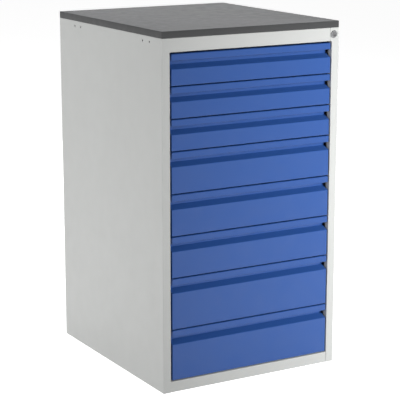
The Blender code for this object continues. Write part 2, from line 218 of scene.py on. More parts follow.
def supported(line: Array, across: int) -> Array:
    """Add two points to each long run, near its ends, so that flat faces stay flat when shaded smooth.

    Args:
        line: Points along a line, one to a row.
        across: How many of a row's values are its place.

    Returns:
        The line with its added points.
    """
    runs = np.diff(line, axis=0)
    lengths = np.linalg.norm(runs[:, :across], axis=1)
    long = lengths > SUPPORTED_RUNS * SUPPORT
    steps = runs * np.where(long, SUPPORT / np.maximum(lengths, SUPPORT), 0)[:, None]
    rows = np.stack([line[:-1], line[:-1] + steps, line[1:] - steps], axis=1)
    kept = np.stack([np.ones_like(long), long, long], axis=1)
    return np.vstack([rows[kept], line[-1:]])


def spread(outline: Array) -> Array:
    """How each point of a closed outline moves when its sides move out by one.

    Args:
        outline: Points of the outline, two to a row.

    Returns:
        For each point, the mean of the normals of its two runs over the square of that mean's length.
    """
    runs = np.roll(outline, -1, axis=0) - outline
    normals = np.stack([runs[:, 1], -runs[:, 0]], axis=1) / np.linalg.norm(runs, axis=1)[:, None]
    mean = (normals + np.roll(normals, 1, axis=0)) / 2
    mean /= np.sum(mean ** 2, axis=1)[:, None]
    return math.copysign(1, np.sum(mean * (outline - outline.mean(axis=0)))) * mean


def edge_curve(edge: float) -> Array:
    """Way along a rounded edge and inwards: rows (edge * (1 - cos), edge * (1 - sin)) up to 90 degrees."""
    return edge * (1 - arc(np.linspace(0, math.pi / 2, EDGE_STEPS + 1)))


def stations(low: float, high: float, edge: float) -> Array:
    """Places along a carried outline with rounded ends, and how far the outline is drawn in at each."""
    curve = edge_curve(edge)
    return supported(np.vstack([(low, 0) + curve, ((high, 0) + (-1, 1) * curve)[::-1]]), 1).T


def carried(loops: Array, heights: Array, axis: Axis) -> Array:
    """Place rings of points along an axis.

    Args:
        loops: Outline at each station, as (station, point, 2).
        heights: Place of each station along the axis.
        axis: The axis.

    Returns:
        The points, three to a row, ring after ring.
    """
    points = np.empty((*loops.shape[:2], 3))
    points[..., axis.value[:2]] = loops
    points[..., axis.value[2]] = heights[:, None]
    return points.reshape(-1, 3)


def ring_faces(rings: int, sides: int, closed: bool = False) -> Array:
    """Faces between neighbouring rings of points.

    Args:
        rings: Number of rings.
        sides: Number of points in each.
        closed: Whether the last ring joins the first.

    Returns:
        The faces, four corners to a row.
    """
    ring, side = np.meshgrid(np.arange(rings if closed else rings - 1), np.arange(sides), indexing="ij")
    after, beyond = (side + 1) % sides, (ring + 1) % rings
    corners = [ring * sides + side, ring * sides + after, beyond * sides + after, beyond * sides + side]
    return np.stack([corner.ravel() for corner in corners], axis=1)


def stacked(loops: Array, heights: Array, axis: Axis, hollow: bool = False) -> Surface:
    """Closed shape of rings, with a fan of triangles about the middle of the first and of the last.

    Args:
        loops: Outline at each station, as (station, point, 2).
        heights: Place of each station along the axis.
        axis: The axis.
        hollow: Whether the last ring joins the first instead.

    Returns:
        The closed shape.
    """
    rings, sides = loops.shape[:2]
    points = carried(loops, heights, axis)
    faces = ring_faces(rings, sides, hollow)
    if hollow:
        return Surface(points, faces).outward()
    poles = carried(loops[[0, -1]].mean(axis=1, keepdims=True), heights[[0, -1]], axis)
    step = np.arange(sides)
    after = (step + 1) % sides
    last = (rings - 1) * sides
    near = np.column_stack(np.broadcast_arrays(after, step, len(points), -1))
    far = np.column_stack(np.broadcast_arrays(last + step, last + after, len(points) + 1, -1))
    return Surface(np.vstack([points, poles]), np.vstack([faces, near, far])).outward()


def prism(outline: Array, axis: Axis, span: Pair) -> Surface:
    """Closed solid with sharp edges, for cutting: its outline at both ends of its span along an axis."""
    return stacked(np.stack([outline, outline]), np.array(span), axis)


def plate(outline: Array, axis: Axis, span: Pair, edge: float = CUT_EDGE) -> Surface:
    """Closed plate with rounded edges: its outline is drawn in along a quarter circle at both faces."""
    heights, insets = stations(*span, edge)
    return stacked(outline - insets[:, None, None] * spread(outline), heights, axis)


def turned(profile: Array, centre: Triple, axis: Axis, sides: int, hollow: bool = False) -> Surface:
    """Turn a profile round an axis: each of its points becomes a circle.

    Args:
        profile: Radius and place along the axis, from the centre, one point to a row.
        centre: A point on the axis.
        axis: The axis.
        sides: Number of points in a circle.
        hollow: Whether the profile closes on itself, and not on the axis.

    Returns:
        The closed shape.
    """
    *middle, start = np.array(centre)[list(axis.value)]
    loops = middle + profile[:, 0, None, None] * circle((0, 0), 1, sides)
    return stacked(loops, start + profile[:, 1], axis, hollow)


def folded_sheet(corners: Sequence[Pair], radii: float | Sequence[float], thickness: float, axis: Axis,
                 span: Pair) -> Surface:
    """Closed sheet, folded along a line and carried along an axis.

    Its two faces lie half a thickness on either side of the line, and all its cut edges are rounded.

    Args:
        corners: Corners of its middle line.
        radii: Radius of that line in each fold.
        thickness: Its thickness.
        axis: The axis along its folds.
        span: Where it starts and ends along the axis.

    Returns:
        The closed sheet.
    """
    line = rounded(corners, radii)
    along, inset = edge_curve(CUT_EDGE).T
    ends = []
    for end, after in ((line[0], line[1]), (line[-1], line[-2])):
        ahead = (after - end) / np.linalg.norm(after - end)
        ends.append(np.column_stack([end + along[:, None] * ahead, thickness / 2 - inset]))
    middle = np.column_stack([line[1:-1], np.full(len(line) - 2, thickness / 2)])
    rows = supported(np.vstack([ends[0], middle, ends[1][::-1]]), 2)
    runs = np.diff(rows[:, :2], axis=0)
    normals = np.stack([-runs[:, 1], runs[:, 0]], axis=1) / np.linalg.norm(runs, axis=1)[:, None]
    mean = (np.vstack([normals[:1], normals]) + np.vstack([normals, normals[-1:]])) / 2
    mean /= np.sum(mean ** 2, axis=1)[:, None]
    heights, insets = stations(*span, CUT_EDGE)
    reach = (rows[:, 2] - insets[:, None])[..., None] * mean
    loops = np.concatenate([rows[:, :2] + reach, (rows[:, :2] - reach)[:, ::-1]], axis=1)
    count = len(rows)
    step = np.arange(count - 1)
    cap = np.stack([step + 1, step, 2 * count - 1 - step, 2 * count - 2 - step], axis=1)
    far_cap = cap[:, ::-1] + 2 * count * (len(heights) - 1)
    faces = np.vstack([ring_faces(len(heights), 2 * count), cap, far_cap])
    return Surface(carried(loops, heights, axis), faces).outward()


def heads(places: Sequence[Triple], axis: Axis, radius: float, height: float) -> Surface:
    """Rivets' heads: (radius * cos, height * sin) of angles up to 90 degrees, turned round each place."""
    profile = (radius, height) * arc(np.linspace(0, math.pi / 2, DOME_STEPS, endpoint=False))
    return joined(*(turned(profile, place, axis, RIVET_SIDES) for place in places))


def channel_line(tip: float, web: float, low: float, high: float) -> list[Pair]:
    """Corners of a channel's middle line: along its lower leg, up its web and back along its upper leg."""
    return [(tip, low), (web, low), (web, high), (tip, high)]


def slide_member(limits: Array, web: float, fold: float, sheet: float) -> Surface:
    """C-shaped member that fills the height and length of a box, with its web's outer face at web."""
    line = channel_line(limits[0, 0], web - sheet / 2, limits[0, 2] + sheet / 2, limits[1, 2] - sheet / 2)
    return folded_sheet(line, fold, sheet, Axis.Y, limits[:, 1])


def punches(centres: Sequence[Pair], radius: float, span: Pair) -> Surface:
    """Round cutters for the holes of a sheet that faces along X, which run past both of its faces."""
    through = (span[0] - OVERRUN, span[1] + OVERRUN)
    return joined(*(prism(circle(centre, radius, SMALL_ROUND_SIDES), Axis.X, through) for centre in centres))


def carved(name: str, base: Surface, tools: Surface, *added: Surface) -> bpy.types.Mesh:
    """Cut shapes out of another.

    Args:
        name: The new mesh's name.
        base: The shape that is cut.
        tools: What is taken from it.
        added: What is united with it first.

    Returns:
        The mesh that is left.
    """
    body = placed(name, base.mesh(name))
    others = []
    for shape, operation in (*((shape, "UNION") for shape in added), (tools, "DIFFERENCE")):
        other = placed("other", shape.mesh("other"))
        change = body.modifiers.new("change", "BOOLEAN")
        change.operation = operation
        change.solver = "EXACT"
        change.object = other
        others.append(other)
    graph = bpy.context.evaluated_depsgraph_get()
    made = bpy.data.meshes.new_from_object(body.evaluated_get(graph))
    for item in (body, *others):
        bpy.data.objects.remove(item)
    return made


class Graph:
    """Nodes of one material, read in Object coordinates, so that the sizes of its patterns are metres."""

    def __init__(self, name: str, **constants: float | tuple[float, ...]) -> None:
        """Start a material.

        Args:
            name: Its name.
            constants: Values of the shader's own sockets, named in lower case.
        """
        self.material = bpy.data.materials.new(name)
        self.material.use_nodes = True
        self.nodes = self.material.node_tree.nodes
        self.shader = self.nodes["Principled BSDF"]
        self.link = self.material.node_tree.links.new
        self.place = self.nodes.new("ShaderNodeTexCoord").outputs["Object"]
        for socket, value in constants.items():
            self.shader.inputs[socket.replace("_", " ").title()].default_value = value

    def noise(self, size: float, detail: float = 2, stretch: Triple = (1, 1, 1)) -> Socket:
        """Cloudy pattern.

        Args:
            size: Width of its blotches.
            detail: How many finer layers it has.
            stretch: How much longer it is along each axis.

        Returns:
            Its value, about a half with a spread of a fifth.
        """
        turn = self.nodes.new("ShaderNodeMapping")
        turn.inputs["Scale"].default_value = tuple(1 / length for length in stretch)
        pattern = self.nodes.new("ShaderNodeTexNoise")
        pattern.inputs["Scale"].default_value = 1 / size
        pattern.inputs["Detail"].default_value = detail
        self.link(self.place, turn.inputs["Vector"])
        self.link(turn.outputs["Vector"], pattern.inputs["Vector"])
        return pattern.outputs[0]

    def graded(self, value: Socket, low: float, high: float, start: float = 0.3, end: float = 0.7) -> Socket:
        """Bring a value from one range into another.

        Args:
            value: The value.
            low: What start becomes.
            high: What end becomes.
            start: Lower end of its range.
            end: Upper end of its range.

        Returns:
            The new value.
        """
        step = self.nodes.new("ShaderNodeMapRange")
        limits = {"From Min": start, "From Max": end, "To Min": low, "To Max": high}
        for socket, limit in limits.items():
            step.inputs[socket].default_value = limit
        self.link(value, step.inputs["Value"])
        return step.outputs["Result"]

    def mixed(self, first: Triple | Socket, second: Triple, share: Socket) -> Socket:
        """Blend two colours.

        Args:
            first: One colour, or where it comes from.
            second: The other.
            share: Share of the other.

        Returns:
            The blend.
        """
        blend = self.nodes.new("ShaderNodeMix")
        blend.data_type = "RGBA"
        if isinstance(first, tuple):
            blend.inputs[MIX_FIRST].default_value = (*first, 1)
        else:
            self.link(first, blend.inputs[MIX_FIRST])
        blend.inputs[MIX_SECOND].default_value = (*second, 1)
        self.link(share, blend.inputs[MIX_SHARE])
        return blend.outputs[MIX_RESULT]

    def bumps(self, height: Socket, depth: float) -> Socket:
        """Raise a pattern from the surface.

        Args:
            height: The pattern.
            depth: How far it rises for a value of one.

        Returns:
            The new normal.
        """
        bump = self.nodes.new("ShaderNodeBump")
        bump.inputs["Distance"].default_value = depth
        self.link(height, bump.inputs["Height"])
        return bump.outputs["Normal"]

    def closed(self, colour: Socket, roughness: Socket, normal: Socket) -> bpy.types.Material:
        """Link what varies over the surface to the shader and give the material."""
        for source, target in ((colour, "Base Color"), (roughness, "Roughness"), (normal, "Normal")):
            self.link(source, self.shader.inputs[target])
        return self.material


def shaded(colour: Triple, share: float) -> Triple:
    """A colour with each value multiplied by the share."""
    return tuple(value * share for value in colour)


@dataclass(frozen=True)
class PowderCoat:
    """Baked powder paint: a fine orange-peel texture, faint clouds and a slightly uneven gloss."""

    name: str
    slot: str
    colour: Triple
    gloss: Pair
    cloud_share: float = 0.985
    speck_share: float = 0.90
    cloud_size: float = 0.160
    gloss_size: float = 0.040
    speck_size: float = 0.0011
    speck_range: Pair = (0.5, 0.8)
    speck_most: float = 0.5
    peel_size: float = 0.0016
    peel_depth: float = 0.00003

    @functools.cache
    def material(self) -> bpy.types.Material:
        """Clouds, then specks, over the paint's colour, on an orange-peel surface.

        Returns:
            The paint's material.
        """
        graph = Graph(self.name)
        clouds = graph.graded(graph.noise(self.cloud_size, detail=3), 0, 1)
        specks = graph.graded(graph.noise(self.speck_size, detail=1), 0, self.speck_most, *self.speck_range)
        colour = graph.mixed(self.colour, shaded(self.colour, self.cloud_share), clouds)
        colour = graph.mixed(colour, shaded(self.colour, self.speck_share), specks)
        gloss = graph.graded(graph.noise(self.gloss_size, detail=4), *self.gloss)
        peel = graph.bumps(graph.noise(self.peel_size), self.peel_depth)
        return graph.closed(colour, gloss, peel)


@dataclass(frozen=True)
class Laminate:
    """Matt board facing with a pebbled texture and a fine two-tone fleck."""

    name: str
    slot: str
    colour: Triple
    gloss: Pair
    fleck_share: float = 0.80
    fleck_size: float = 0.0030
    gloss_ratio: float = 8
    pebble_size: float = 0.0008
    pebble_depth: float = 0.00004
    stretch: Triple = (1, 1, 1)

    @functools.cache
    def material(self) -> bpy.types.Material:
        """Flecks over the facing's colour, on a pebbled surface.

        Returns:
            The facing's material.
        """
        graph = Graph(self.name)
        flecks = graph.graded(graph.noise(self.fleck_size, detail=4, stretch=self.stretch), 0, 1)
        colour = graph.mixed(self.colour, shaded(self.colour, self.fleck_share), flecks)
        gloss = graph.graded(graph.noise(self.fleck_size * self.gloss_ratio, detail=3), *self.gloss)
        pebbles = graph.bumps(graph.noise(self.pebble_size, stretch=self.stretch), self.pebble_depth)
        return graph.closed(colour, gloss, pebbles)


@dataclass(frozen=True)
class Metal:
    """Bare or plated metal: lines from rolling or turning, and blotches where the plating is duller."""

    name: str
    slot: str
    colour: Triple
    gloss: Pair
    blotch_share: float = 0.86
    blotch_size: float = 0.018
    line_size: float = 0.0005
    line_range: Pair = (0.4, 0.7)
    line_most: float = 0.5
    line_depth: float = 0.000006
    stretch: Triple = (1, 60, 1)

    @functools.cache
    def material(self) -> bpy.types.Material:
        """Blotches over the metal's colour, with fine lines along its length.

        Returns:
            The metal's material.
        """
        graph = Graph(self.name, metallic=1.0)
        blotches = graph.noise(self.blotch_size, detail=4)
        lines = graph.noise(self.line_size, stretch=self.stretch)
        duller = shaded(self.colour, self.blotch_share)
        colour = graph.mixed(self.colour, duller, graph.graded(blotches, 0, 1))
        colour = graph.mixed(colour, duller, graph.graded(lines, 0, self.line_most, *self.line_range))
        gloss = graph.graded(blotches, *self.gloss)
        return graph.closed(colour, gloss, graph.bumps(lines, self.line_depth))


Finish = PowderCoat | Laminate | Metal

GREY_PAINT = PowderCoat("light_grey_paint", "housing_paint", (0.470, 0.478, 0.468), (0.34, 0.46))
BLUE_PAINT = PowderCoat("blue_paint", "front_paint", (0.0225, 0.074, 0.265), (0.34, 0.46))
TRAY_PAINT = PowderCoat("tray_paint", "tray_paint", (0.455, 0.463, 0.450), (0.40, 0.52), peel_depth=0.00002)
TOP_LAMINATE = Laminate("worktop_laminate", "worktop_board", (0.115, 0.116, 0.118), (0.40, 0.50))
EDGE_PLASTIC = Laminate("edge_band_plastic", "worktop_edge", (0.047, 0.048, 0.049), (0.42, 0.52),
                        fleck_share=0.90, fleck_size=0.0040, pebble_size=0.0010, pebble_depth=0.00002,
                        stretch=(8, 8, 1))
ZINC = Metal("zinc_plate", "slide_zinc", (0.60, 0.61, 0.63), (0.26, 0.42))
CHROME = Metal("satin_chrome", "lock_chrome", (0.43, 0.435, 0.44), (0.20, 0.30), blotch_share=0.92,
               blotch_size=0.004, stretch=(1, 1, 1))
PLUG_STEEL = Metal("turned_steel", "plug_steel", (0.40, 0.40, 0.41), (0.28, 0.40), blotch_share=0.85,
                   blotch_size=0.003, stretch=(1, 1, 1))


def box(node: str) -> Array:
    """Lowest and highest corner of a CAD node, one to a row."""
    return np.array([tuple(corner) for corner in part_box(node)])


def finished(name: str, shape: Surface | bpy.types.Mesh, body: str, finish: Finish, *nodes: str) -> None:
    """Make a piece of the cabinet, let it move with a body and dress it.

    Args:
        name: The piece's name.
        shape: Its shape, at its place.
        body: The body that it moves with.
        finish: What covers it.
        nodes: CAD nodes that it stands for.
    """
    mesh = shape.mesh(name) if isinstance(shape, Surface) else shape
    mesh.shade_smooth()
    mesh.set_sharp_from_angle(angle=SHARP_ANGLE)
    mesh.materials.clear()
    mesh.materials.append(finish.material())
    made = placed(name, mesh)
    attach(made, body)
    if nodes:
        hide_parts(*nodes)
    LOG.info("%s: %d faces, %s, on %s", name, len(mesh.polygons), finish.name, body)


def dressed(node: str, finish: Finish) -> None:
    """Cover a CAD node that stays in sight."""
    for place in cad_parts[node].material_slots:
        place.material = finish.material()
    LOG.info("%s: kept, %s", node, finish.name)


@dataclass(frozen=True)
class Places:
    """Places that the pieces share, read from the CAD nodes; side and opening are half widths."""

    front: float
    rear: float
    side: float
    opening: float
    frame_rear: float
    pan_rear: float
    pan_top: float
    opening_top: float
    top: float

    @classmethod
    def read(cls) -> "Places":
        """Take the places from the boxes of the housing's sheets."""
        rail, pan, side = (box(n) for n in ("top_rail", "base_pan", "side_panel_right"))
        return cls(rail[0, 1], side[1, 1], side[1, 0], -rail[0, 0] + TIGHT, rail[1, 1], pan[1, 1], pan[1, 2],
                   rail[0, 2], rail[1, 2])


@dataclass(frozen=True)
class Housing:
    """Folded sheets that carry everything else."""

    places: Places
    body: str = "housing"
    sheet: float = 0.0012
    side_fold: float = 0.0022
    rail_fold: float = 0.0011
    rear_flange: float = 0.016
    stile_return: float = 0.016
    guide_inset: float = 0.005
    lock_ear: float = 0.005
    foot_return: float = 0.020
    column_seam: float = 0.0008
    weld_proud: float = 0.00002
    weld_overlap: float = 0.0006
    hole_radius: float = 0.0028
    hole_drop: float = 0.015
    hole_setbacks: tuple[float, ...] = (0.070, 0.110, 0.500, 0.540)
    bore_radius: float = 0.0088
    rivet_radius: float = 0.0032
    rivet_height: float = 0.0004
    rivet_count: int = 6
    rivet_margin: float = 0.060

    @property
    def stile(self) -> list[Pair]:
        """Line of a front post, from its return in the opening to the cabinet's corner."""
        at, half = self.places, self.sheet / 2
        inner, face = at.opening + half, at.front + half
        return [(inner, at.front + self.stile_return), (inner, face), (at.side - half, face)]

    def build(self) -> None:
        """Make every sheet of the housing."""
        self.build_sides()
        self.build_column()
        self.build_rails()
        self.build_welds()
        self.build_rivets()
        for node in ("back_panel", "top_panel"):
            dressed(node, GREY_PAINT)

    def build_sides(self) -> None:
        """Side panels with rear flanges and coupling holes, drawn for the right half.

        The left one is one sheet with its front stile, and the right one starts behind the lock column.
        """
        at, half = self.places, self.sheet / 2
        rear = [(at.side - half, at.rear - half), (at.side - self.rear_flange, at.rear - half)]
        start = [(at.side - half, at.frame_rear + TIGHT)]
        centres = [(at.front + y, at.top - self.hole_drop) for y in self.hole_setbacks]
        holes = punches(centres, self.hole_radius, (at.side - self.sheet, at.side))
        for side, line in ((Side.LEFT, self.stile), (Side.RIGHT, start)):
            panel = folded_sheet(line + rear, self.side_fold, self.sheet, Axis.Z, (0, at.top))
            name = f"{side.value}_side_sheet"
            mesh = carved(name, side.of(panel), side.of(holes))
            finished(name, mesh, self.body, GREY_PAINT, f"side_panel_{side.value}")

    def build_column(self) -> None:
        """Front post on the lock's side, with a flange that guides the lock bar, and its wider bored head."""
        at, half = self.places, self.sheet / 2
        rear = at.frame_rear - half
        guide = [(at.side - half, rear), (at.opening + self.guide_inset, rear)]
        post_span = (0, at.opening_top + self.sheet)
        post = folded_sheet(self.stile + guide, self.rail_fold, self.sheet, Axis.Z, post_span)
        ear = (at.opening - self.lock_ear, at.front + half)
        head_line = [ear, self.stile[-1], (at.side - half, at.frame_rear)]
        head = folded_sheet(head_line, self.rail_fold, self.sheet, Axis.Z, (at.opening_top, at.top))
        x, _, z = box("lock_housing").mean(axis=0)
        bore = circle((x, z), self.bore_radius, ROUND_SIDES)
        span = (at.front - OVERRUN, at.front + self.sheet + OVERRUN)
        mesh = carved("lock_column_sheet", post, prism(bore, Axis.Y, span), head)
        finished("lock_column_sheet", mesh, self.body, GREY_PAINT, "lock_column")

    def build_rails(self) -> None:
        """Top rail, and the base pan whose folded front is the bottom rail."""
        at, half = self.places, self.sheet / 2
        span = (TIGHT - at.opening, at.opening - self.column_seam)
        rail = channel_line(at.frame_rear, at.front + half, at.opening_top + half, at.top - half)
        shape = folded_sheet(rail, self.rail_fold, self.sheet, Axis.X, (span[0], span[1] - self.lock_ear))
        finished("top_rail_sheet", shape, self.body, GREY_PAINT, "top_rail")
        face, rear, top = at.front + half, at.pan_rear - half, at.pan_top - half
        pan = [(at.front + self.foot_return, half), (face, half), (face, top), (rear, top), (rear, half),
               (at.pan_rear - self.foot_return, half)]
        shape = folded_sheet(pan, self.rail_fold, self.sheet, Axis.X, span)
        low = (at.opening, at.frame_rear + TIGHT)
        high = (at.side - self.sheet - TIGHT, at.pan_rear - self.side_fold - self.sheet)
        wing = plate(rectangle(low, high, self.sheet), Axis.Z, (at.pan_top - self.sheet, at.pan_top))
        shape = joined(shape, wing, wing.mirrored())
        finished("base_pan_sheet", shape, self.body, GREY_PAINT, "base_pan")

    def build_welds(self) -> None:
        """Ground welds between the left stile and the two rails, which leave no seam there."""
        at = self.places
        start = at.opening - TIGHT - self.weld_overlap
        end = at.opening + self.sheet / 2 + self.side_fold + TIGHT
        margin = self.rail_fold + self.sheet / 2
        span = (at.front - self.weld_proud, at.front + self.sheet)
        strips = []
        for low, high in ((0, at.pan_top), (at.opening_top, at.top)):
            outline = rectangle((start, low + margin), (end, high - margin), self.sheet / 2)
            strips.append(prism(outline, Axis.Y, span).mirrored())
        finished("stile_welds", joined(*strips), self.body, GREY_PAINT)

    def build_rivets(self) -> None:
        """Flat rivets that hold the back panel to the side panels' rear flanges."""
        at = self.places
        heights = np.linspace(self.rivet_margin, at.top - self.rivet_margin, self.rivet_count)
        across = at.side - self.rear_flange / 2
        places = [(x, at.rear, z) for x in (-across, across) for z in heights]
        rivets = heads(places, Axis.Y, self.rivet_radius, self.rivet_height)
        finished("rear_rivets", rivets, self.body, GREY_PAINT)


@dataclass(frozen=True)
class Worktop:
    """Faced board with a plastic band round its edge."""

    body: str = "housing"
    band: float = 0.0020
    corner: float = 0.0028
    band_edge: float = 0.0009
    board_edge: float = 0.0003

    def build(self) -> None:
        """Make the board, and its band: a profile carried round it, at path - inset * spread."""
        low, high = box("worktop_edge_band")
        profile = rectangle((0, low[2]), (self.band, high[2]), self.band_edge)
        path = rectangle(low[:2], high[:2], self.corner)
        loops = path - profile[:, 0, None, None] * spread(path)
        band = stacked(loops, profile[:, 1], Axis.Z, hollow=True)
        finished("worktop_band", band, self.body, EDGE_PLASTIC, "worktop_edge_band")
        outline = rectangle(low[:2] + self.band, high[:2] - self.band, self.corner - self.band)
        board = plate(outline, Axis.Z, (low[2], high[2]), self.board_edge)
        finished("worktop_panel", board, self.body, TOP_LAMINATE, "worktop_board")


@dataclass(frozen=True)
class Drawer:
    """One drawer: its folded front, its tray and the inner members of its slides."""

    number: int
    sheet: float = 0.0012
    face_radius: float = 0.0014
    fold: float = 0.0010
    lip: float = 0.0185
    hem: float = 0.0090
    hem_spacing: float = 0.0018
    recess_height: float = 0.0313
    ramp_drop: float = 0.0105
    front_return: float = 0.0200
    cheek_inset: float = 0.00005
    tray_rim: float = 0.0040
    tray_fold: float = 0.0012
    tray_flange: float = 0.012
    member_sheet: float = 0.0015
    member_fold: float = 0.0012
    member_setback: float = 0.0048
    member_half_height: float = 0.0144
    tip_gap: float = 0.0025
    slide_width: float = 0.0140
    rivet_radius: float = 0.0030
    rivet_height: float = 0.0011
    rivet_shares: tuple[float, ...] = (0.06, 0.50, 0.94)
    screw_shares: tuple[float, ...] = (0.12, 0.38, 0.62, 0.88)
    lug_sheet: float = 0.0025
    lug_foot: float = 0.022
    lug_fold: float = 0.0022
    lug_height: float = 0.012
    lug_rise: float = 0.012
    lug_gap: float = 0.0006

    @property
    def body(self) -> str:
        """Name of the body that all its pieces move with."""
        return f"drawer_{self.number}"

    @property
    def tray(self) -> Array:
        """Box of the tray's CAD node."""
        return box(f"{self.body}_tray")

    @property
    def rail(self) -> Array:
        """Box of the right cabinet rail's CAD node."""
        return box(f"{self.body}_rail_right")

    @property
    def tray_half(self) -> float:
        """Half the tray's outer width."""
        return self.rail[0, 0] - self.tip_gap

    def build(self) -> None:
        """Make the drawer's pieces."""
        self.build_front()
        self.build_tray()
        self.build_members()
        self.build_fixings()

    def build_front(self) -> None:
        """Front in one folded sheet: a hemmed lip over a finger recess, a ramp and the face, with cheeks."""
        half = self.sheet / 2
        (left, face, bottom), (right, back, top) = box(f"{self.body}_front")
        recess_low = top - self.recess_height
        ramp_low = recess_low - self.ramp_drop
        lip_low = top - self.lip
        outer, inner = face + half, back - half
        hem_at = outer + self.hem_spacing
        rear = face + self.front_return
        foot, edge, bend = (rear, bottom + half), (outer, bottom + half), (outer, ramp_low)
        corners = [foot, edge, bend, (inner, recess_low), (inner, top - half), (outer, top - half),
                   (outer, lip_low + half), (hem_at, lip_low + half), (hem_at, lip_low + self.hem)]
        hem = self.hem_spacing / 2
        radii = [self.face_radius, self.face_radius, self.fold, self.fold, self.face_radius, hem, hem]
        panel = folded_sheet(corners, radii, self.sheet, Axis.X, (left, right))
        slope = self.ramp_drop / (back - face - self.sheet)
        cheek = np.array([edge, bend, (rear, ramp_low + slope * (self.front_return - half)), foot])
        end = right - self.cheek_inset
        side = prism(cheek, Axis.X, (end - self.sheet, end))
        shape = joined(panel, side, side.mirrored())
        finished(f"{self.body}_front_sheet", shape, self.body, BLUE_PAINT, f"{self.body}_front")

    def build_tray(self) -> None:
        """Tray: floor, sides and rims in one sheet, with a flanged wall set in at each end."""
        half, wide = self.sheet / 2, self.tray_half
        (start, end), (low, high) = self.tray[:, 1], self.tray[:, 2]
        side, rim = wide - half, wide + self.tray_rim
        half_line = [(side, low + half), (side, high - half), (rim, high - half)]
        corners = [(-x, z) for x, z in reversed(half_line)] + half_line
        shell = folded_sheet(corners, self.tray_fold, self.sheet, Axis.Y, (start, end))
        walls = []
        span = (self.sheet - wide, wide - self.sheet)
        for wall, into in ((start + half, 1), (end - half, -1)):
            line = channel_line(wall + into * self.tray_flange, wall, low + self.sheet + half, high - half)
            walls.append(folded_sheet(line, self.tray_fold, self.sheet, Axis.X, span))
        finished(f"{self.body}_tray_sheet", joined(shell, *walls), self.body, TRAY_PAINT, f"{self.body}_tray")

    def build_members(self) -> None:
        """Inner members of the slides on the tray's sides, and the lug that the lock bar stops."""
        half = self.member_sheet / 2
        middle = self.rail[:, 2].mean()
        reach = self.member_half_height - half
        web = self.tray_half + half
        tip = self.tray_half + self.slide_width - self.member_setback
        corners = channel_line(tip, web, middle - reach, middle + reach)
        member = folded_sheet(corners, self.member_fold, self.member_sheet, Axis.Y, self.rail[:, 1])
        for side in Side:
            finished(f"{self.body}_inner_member_{side.value}", side.of(member), self.body, ZINC)
        start = box("lock_bar")[1, 1] + self.lug_gap + self.lug_sheet / 2
        flat = self.tray_half + self.lug_sheet / 2
        corners = [(flat, start + self.lug_foot), (flat, start), (self.tray[1, 0], start)]
        low = self.rail[1, 2] + self.lug_rise
        lug = folded_sheet(corners, self.lug_fold, self.lug_sheet, Axis.Z, (low, low + self.lug_height))
        finished(f"{self.body}_lock_lug", lug, self.body, ZINC)

    def build_fixings(self) -> None:
        """Rivets that hold the inner members, and screws that hold the front, all seen inside the tray."""
        inner = self.tray_half - self.sheet
        start, end = self.tray[:, 1]
        middle = self.rail[:, 2].mean()
        places = [(inner, start + share * (end - start), middle) for share in self.rivet_shares]
        rivets = heads(places, Axis.X, self.rivet_radius, -self.rivet_height)
        wall = start + self.sheet
        height = self.tray[:, 2].mean()
        places = [(inner * (2 * share - 1), wall, height) for share in self.screw_shares]
        screws = heads(places, Axis.Y, self.rivet_radius, self.rivet_height)
        finished(f"{self.body}_fixings", joined(rivets, rivets.mirrored(), screws), self.body, ZINC)


@dataclass(frozen=True)
class Slide:
    """One telescopic slide without its inner member: the middle member and the cabinet rail."""

    number: int
    side: Side
    sheet: float = 0.0015
    tip_gap: float = 0.0025
    width: float = 0.0140
    rail_fold: float = 0.0042
    middle_fold: float = 0.0024
    hole_radius: float = 0.0040
    hole_shares: tuple[float, ...] = (0.10, 0.38, 0.66, 0.92)
    bracket_sheet: float = 0.0012
    bracket_fold: float = 0.0012
    bracket_length: float = 0.050
    bracket_inset: float = 0.060
    bracket_height: float = 0.020
    bracket_foot: float = 0.007
    screw_radius: float = 0.0026
    screw_height: float = 0.0014
    screw_count: int = 2

    def build(self) -> None:
        """Make the slide's pieces, drawn for the right half."""
        tag, side = f"drawer_{self.number}", self.side.value
        rail, middle = box(f"{tag}_rail_right"), box(f"{tag}_slide_right")
        (start, end), web = middle[:, 1], middle[1, 0]
        sheet = slide_member(middle, web, self.middle_fold, self.sheet)
        centres = [(start + share * (end - start), middle[:, 2].mean()) for share in self.hole_shares]
        holes = punches(centres, self.hole_radius, (web - self.sheet, web))
        mesh = carved(f"{tag}_middle_member_{side}", self.side.of(sheet), self.side.of(holes))
        finished(mesh.name, mesh, f"{tag}_slides", ZINC, f"{tag}_slide_{side}")
        outer = rail[0, 0] - self.tip_gap + self.width
        shape = joined(slide_member(rail, outer, self.rail_fold, self.sheet), *self.brackets(rail, outer))
        finished(f"{tag}_cabinet_rail_{side}", self.side.of(shape), "housing", ZINC, f"{tag}_rail_{side}")

    def brackets(self, limits: Array, outer: float) -> list[Surface]:
        """Hat-shaped brackets that stand the rail off the side panel, and the screws in their feet.

        Args:
            limits: Box of the rail's CAD node.
            outer: Outer face of its web.

        Returns:
            The closed brackets and screws.
        """
        crown, foot = outer + self.bracket_sheet / 2, limits[1, 0] - self.bracket_sheet / 2
        middle, reach = limits[:, 2].mean(), self.bracket_height / 2
        tip = reach + self.bracket_foot
        profile = [(foot, tip), (foot, reach), (crown, reach), (crown, -reach), (foot, -reach), (foot, -tip)]
        corners = [(x, middle + z) for x, z in profile]
        inner = foot - self.bracket_sheet / 2
        height = middle + reach + self.bracket_foot / 2 + self.bracket_fold / 2
        start, end = limits[:, 1]
        shapes = []
        for low in (start + self.bracket_inset, end - self.bracket_inset - self.bracket_length):
            span = (low, low + self.bracket_length)
            shapes.append(folded_sheet(corners, self.bracket_fold, self.bracket_sheet, Axis.Y, span))
            places = [(inner, y, height) for y in np.linspace(*span, self.screw_count + 2)[1:-1]]
            shapes.append(heads(places, Axis.X, self.screw_radius, -self.screw_height))
        return shapes


